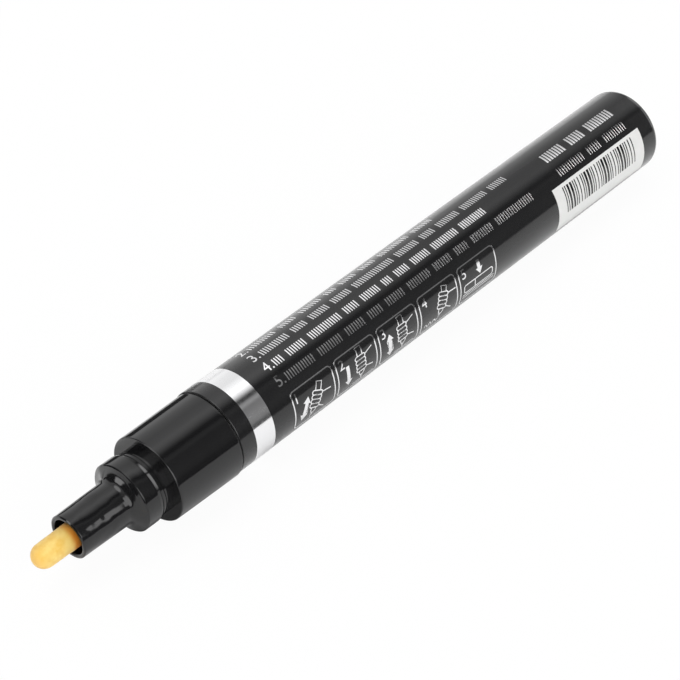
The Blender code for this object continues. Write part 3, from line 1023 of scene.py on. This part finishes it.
def silver_ring(ink):
    corners = [
        (RING_FRONT, BARREL_R - PRINT_SINK),
        (RING_FRONT, BARREL_R + PRINT_RISE),
        (RING_REAR, BARREL_R + PRINT_RISE),
        (RING_REAR, BARREL_R - PRINT_SINK),
    ]
    show("silver_ring", on_axis(spun(corners)), ink, "casing")


# Studio

# Brightness by the angle round the marker, from straight up toward the camera side: for the half
# of the room past the tail, and for the half that the nib points to
TAIL_HALF = [
    (-180, 0.80), (-84, 0.85), (-77, 1.00), (-60, 0.90),
    (-36, 0.85), (-18, 1.10), (-9, 1.35), (-2, 1.20), (6, 0.75), (13, 0.25), (17, 0.05),
    (23, 0.05), (28, 0.25), (33, 0.30), (40, 0.17), (52, 0.19), (66, 0.22), (78, 0.19),
    (86, 0.085), (97, 0.085), (99, 0.8),
]
NIB_HALF = [
    (-180, 0.8), (-95, 0.9), (-88, 1.15), (-60, 1.0), (-30, 0.75), (-5, 0.7), (15, 0.6),
    (30, 0.4), (60, 0.3), (90, 0.2), (93, 0.8),
]
HALF_FROM, HALF_TO = -0.25, 0.1
# The half past the tail dims toward the marker's own axis: share of it, from and to
AXIS_FROM, AXIS_TO = 0.48, 0.70
AXIS_FULL, AXIS_DIM = 1.05, 0.5
# Nearer than this to square on the axis, the panels of that half reach a little less far down
TURN_FROM, TURN_TO, TURN_SHIFT = 0.478, 0.489, 5
# Strips, one of shade and four of light: share of the axis from and to, angle from and to, level
STRIPS = [
    (0.740, 0.900, -110, -34, 0.05),
    (0.765, 0.865, -36, 12, 3.4),
    (0.780, 0.885, 20, 88, 3.4),
    (-0.40, 0.371, 54, 76, 2.6),
    (-0.32, 0.14, 38, 60, 2.8),
]
STRIP_ENDS, STRIP_SIDES = 0.008, 3
# Soft lamps: direction, half width, blur, level
LAMPS = [
    ((-0.35, 0.15, 0.92), 18, 4, 3.2),
    ((-0.55, -0.75, 0.37), 22, 5, 2.8),
]
# The dark wall that the nib points to: share of the height, of the axis and of the depth
WALL_Z, WALL_X, WALL_Y = (-0.03, 0.58), (-0.36, -0.20), (-0.35, -0.20)
WALL_EDGE, WALL_LEVEL = 0.03, 0.05
# The window in that wall: angle off the axis, share of the height, level
WINDOW_ANGLE, WINDOW_Z = (17, 36), (0.026, 0.375)
WINDOW_SIDES, WINDOW_ENDS, WINDOW_LEVEL = 1.5, 0.026, 3.6


def grey(level):
    return (level, level, level)


def studio_world():
    world = bpy.data.worlds.new("studio")
    bpy.context.scene.world = world
    world.use_nodes = True
    g = Graph(world.node_tree)
    way = g.add("ShaderNodeTexCoord").outputs["Generated"]
    x, y, z = g.axes(way)
    angle = g.math("DEGREES", g.math("ARCTAN2", g.math("MULTIPLY", y, -1.0), z))
    shifted = g.math("ADD", angle, g.spread(x, TURN_SHIFT, 0.0, TURN_FROM, TURN_TO))
    nib_half, tail_half = (
        g.ramp(
            g.spread(turn, 0.0, 1.0, -180, 180),
            [(degrees / 360 + 0.5, grey(level)) for degrees, level in half],
        )
        for turn, half in ((angle, NIB_HALF), (shifted, TAIL_HALF))
    )
    dimmed = g.add("ShaderNodeVectorMath", operation="SCALE")
    g.link(tail_half, dimmed.inputs[0])
    g.link(g.spread(x, AXIS_FULL, AXIS_DIM, AXIS_FROM, AXIS_TO), dimmed.inputs["Scale"])
    toward_tail = g.spread(x, 0.0, 1.0, HALF_FROM, HALF_TO, soft=True)
    room = g.mix(toward_tail, nib_half, dimmed.outputs["Vector"])
    for x_from, x_to, first, last, level in STRIPS:
        lit = g.math(
            "MULTIPLY", g.between(x, x_from, x_to, STRIP_ENDS),
            g.between(angle, first, last, STRIP_SIDES),
        )
        room = g.mix(lit, room, grey(level))
    for direction, half_width, blur, level in LAMPS:
        facing = g.add("ShaderNodeVectorMath", operation="DOT_PRODUCT")
        g.link(way, facing.inputs[0])
        facing.inputs[1].default_value = Vector(direction).normalized()
        rim = math.cos(math.radians(half_width + blur))
        core = math.cos(math.radians(half_width - blur))
        lit = g.spread(facing.outputs["Value"], 0.0, 1.0, rim, core, soft=True)
        room = g.mix(lit, room, grey(level))
    wall = g.fold(
        "MULTIPLY", g.between(z, *WALL_Z, WALL_EDGE), g.spread(x, 1.0, 0.0, *WALL_X),
        g.spread(y, 0.0, 1.0, *WALL_Y),
    )
    room = g.mix(wall, room, grey(WALL_LEVEL))
    aside = g.math("DEGREES", g.math("ARCTAN2", y, g.math("MULTIPLY", x, -1.0)))
    window = g.math(
        "MULTIPLY", g.between(aside, *WINDOW_ANGLE, WINDOW_SIDES),
        g.between(z, *WINDOW_Z, WINDOW_ENDS),
    )
    room = g.mix(window, room, grey(WINDOW_LEVEL))
    path = g.add("ShaderNodeLightPath")
    seen = g.mix(path.outputs["Is Camera Ray"], room, grey(1.0))
    g.link(seen, g.tree.nodes["Background"].inputs["Color"])


# White board under the marker, in metres: how white it is, how much of it shines of itself to the
# camera and in reflections, and how white a reflection stays where shade is painted on the board
BOARD_HALF, BOARD_DROP = 1.5, 0.00005
BOARD_COLOUR = 0.88
BOARD_TO_CAMERA = 0.95
BOARD_REFLECTED = 0.25
BOARD_PAINTED_DARK_LEVEL = 0.06
# Painted shade on the board, seen in reflections only: behind the marker, between two slanted
# sides; past the nib; on the near side; and far off
BOARD_BACK = (0.028, 0.038)
BOARD_BACK_SLANT = -0.567
BOARD_BACK_FROM = (-0.095, -0.080)
BOARD_BACK_TO = (-0.0355, -0.0343)
BOARD_DARK_PAST_NIB = (-0.115, -0.095)
BOARD_NIB_SIDE = (0.015, 0.035)
BOARD_NEAR = (-0.215, -0.185)
BOARD_FAR = (-0.40, -0.20)
# A deeper painted shade in the reflections behind the nib, with a slanted front
BOARD_DEEP_SLANT = 0.25
BOARD_DEEP = (0.045, 0.065)
BOARD_DEEP_X = (-0.075, -0.062)
# Painted shade in the reflections under the tip and by the cap seat, as a share of the full painted
# shade
BOARD_SHADE_EDGE = 0.001
BOARD_UNDER_TIP_X = (-0.0545, -0.0355)
BOARD_UNDER_TIP_Y = (-0.0056, 0.0095)
BOARD_UNDER_TIP = 0.65
BOARD_BY_SEAT_X = (-0.0515, -0.046)
BOARD_BY_SEAT_Y = (0.013, 0.040)
BOARD_BY_SEAT = 0.5
# Reflected glow behind the nib: level and x where it rises and dips, where it ends, a bright spot
# at its end, and how far back it lies
BOARD_GLOW_RISE = (0.0, 1.8, -0.150, -0.090)
BOARD_GLOW_DIP = (0.0, 1.2, -0.075, -0.061)
BOARD_GLOW_END = (-0.0600, -0.0560)
BOARD_SPOT = 4.2
BOARD_SPOT_X = (-0.0585, -0.0528)
BOARD_SPOT_EDGE = 0.002
BOARD_GLOW_Y = (0.018, 0.062)
BOARD_GLOW_EDGE = 0.004


def board_shade(g, x, y):
    """How dark the board's reflections are painted at a place: 0 where they stay white, 1 in full
    painted shade.
    """
    slanted = g.math("MULTIPLY_ADD", y, BOARD_BACK_SLANT, x)
    back = g.fold(
        "MULTIPLY", g.spread(slanted, 0.0, 1.0, *BOARD_BACK_FROM),
        g.spread(slanted, 1.0, 0.0, *BOARD_BACK_TO), g.spread(y, 0.0, 1.0, *BOARD_BACK),
    )
    dark_past_nib = g.math(
        "MULTIPLY", g.spread(x, 1.0, 0.0, *BOARD_DARK_PAST_NIB), g.spread(y, 1.0, 0.0, *BOARD_NIB_SIDE)
    )
    near = g.spread(y, 1.0, 0.0, *BOARD_NEAR)
    far = g.spread(x, 1.0, 0.0, *BOARD_FAR)
    slanted = g.math("MULTIPLY_ADD", x, BOARD_DEEP_SLANT, y)
    deep = g.math(
        "MULTIPLY", g.spread(slanted, 0.0, 1.0, *BOARD_DEEP), g.spread(x, 1.0, 0.0, *BOARD_DEEP_X)
    )
    by_seat, under_tip = (
        g.fold(
            "MULTIPLY", g.between(x, *x_reach, BOARD_SHADE_EDGE),
            g.between(y, *y_reach, BOARD_SHADE_EDGE), share,
        )
        for x_reach, y_reach, share in (
            (BOARD_BY_SEAT_X, BOARD_BY_SEAT_Y, BOARD_BY_SEAT),
            (BOARD_UNDER_TIP_X, BOARD_UNDER_TIP_Y, BOARD_UNDER_TIP),
        )
    )
    return g.fold("MAXIMUM", back, dark_past_nib, near, far, deep, by_seat, under_tip)


def board_glow(g, x, y):
    """How much a place on the board glows in reflections."""
    glow = g.math("SUBTRACT", g.spread(x, *BOARD_GLOW_RISE), g.spread(x, *BOARD_GLOW_DIP))
    glow = g.math("MULTIPLY", glow, g.spread(x, 1.0, 0.0, *BOARD_GLOW_END))
    spot = g.math("MULTIPLY", g.between(x, *BOARD_SPOT_X, BOARD_SPOT_EDGE), BOARD_SPOT)
    glow = g.math("ADD", glow, spot)
    return g.math("MULTIPLY", glow, g.between(y, *BOARD_GLOW_Y, BOARD_GLOW_EDGE))


def floor():
    bm = bmesh.new()
    bmesh.ops.create_grid(bm, x_segments=1, y_segments=1, size=BOARD_HALF)
    mesh = bpy.data.meshes.new("floor")
    bm.to_mesh(mesh)
    bm.free()
    item = bpy.data.objects.new("floor", mesh)
    item.location = (0, 0, -BOARD_DROP)
    bpy.context.scene.collection.objects.link(item)
    look = bpy.data.materials.new("white_board")
    look.use_nodes = True
    g = Graph(look.node_tree)
    g.tree.nodes.remove(g.tree.nodes["Principled BSDF"])
    x, y, _ = g.axes(g.add("ShaderNodeTexCoord").outputs["Object"])
    path = g.add("ShaderNodeLightPath")
    mirrored = g.math(
        "MAXIMUM", path.outputs["Is Glossy Ray"], path.outputs["Is Transmission Ray"]
    )
    # Painted shade on the board, seen only in reflections
    shade = g.math("MULTIPLY", board_shade(g, x, y), mirrored)
    tone = g.spread(shade, 1.0, BOARD_PAINTED_DARK_LEVEL, 0.0, 1.0)
    matt = g.add("ShaderNodeBsdfDiffuse")
    g.link(g.math("MULTIPLY", tone, BOARD_COLOUR), matt.inputs["Color"])
    glow = g.math("MULTIPLY", board_glow(g, x, y), mirrored)
    lit = g.add("ShaderNodeEmission")
    g.link(g.math("ADD", tone, glow), lit.inputs["Strength"])
    seen = g.math("MULTIPLY", path.outputs["Is Camera Ray"], BOARD_TO_CAMERA)
    share = g.math("MULTIPLY_ADD", mirrored, BOARD_REFLECTED, seen)
    mixed = g.add("ShaderNodeMixShader")
    g.link(share, mixed.inputs["Fac"])
    g.link(matt.outputs[0], mixed.inputs[1])
    g.link(lit.outputs[0], mixed.inputs[2])
    g.link(mixed.outputs[0], g.tree.nodes["Material Output"].inputs["Surface"])
    mesh.materials.append(look)


# Camera: its lens and angles, the point it is set by, which is the middle of the ring's front edge,
# and where it sees that point: to the right, down and ahead
LENS = 120.9
SENSOR = 36.0
CLIP_START = 0.01
ELEVATION = math.radians(42.2)
AZIMUTH = math.radians(-47.68)
AIM = Vector((MOUTH_X - RING_FRONT * MM, 0, AXIS_Z))
AIM_SEEN = Vector((-2.4073, 1.7180, 46.5374)) * BARREL_R * MM


def camera():
    right = Vector((math.cos(AZIMUTH), math.sin(AZIMUTH), 0))
    level = Vector((-math.sin(AZIMUTH), math.cos(AZIMUTH), 0))
    up = Vector((0, 0, 1))
    ahead = level * math.cos(ELEVATION) - up * math.sin(ELEVATION)
    top = up * math.cos(ELEVATION) + level * math.sin(ELEVATION)
    data = bpy.data.cameras.new("camera")
    data.lens = LENS
    data.sensor_width = SENSOR
    data.clip_start = CLIP_START
    item = bpy.data.objects.new("camera", data)
    bpy.context.scene.collection.objects.link(item)
    spot = AIM - right * AIM_SEEN.x + top * AIM_SEEN.y - ahead * AIM_SEEN.z
    turn = Matrix((right, top, -ahead)).transposed()
    item.matrix_world = Matrix.Translation(spot) @ turn.to_4x4()
    bpy.context.scene.camera = item


def main():
    bpy.context.scene.view_settings.view_transform = "Standard"
    camera()
    studio_world()
    floor()
    barrel()
    tip_moulding()
    felt_nib()
    valve_pieces()
    silver = silver_print()
    silver_ring(silver)
    direction_rows(silver)
    tail_rows(silver)
    step_pictures(silver)
    bar_label(white_print())


main()
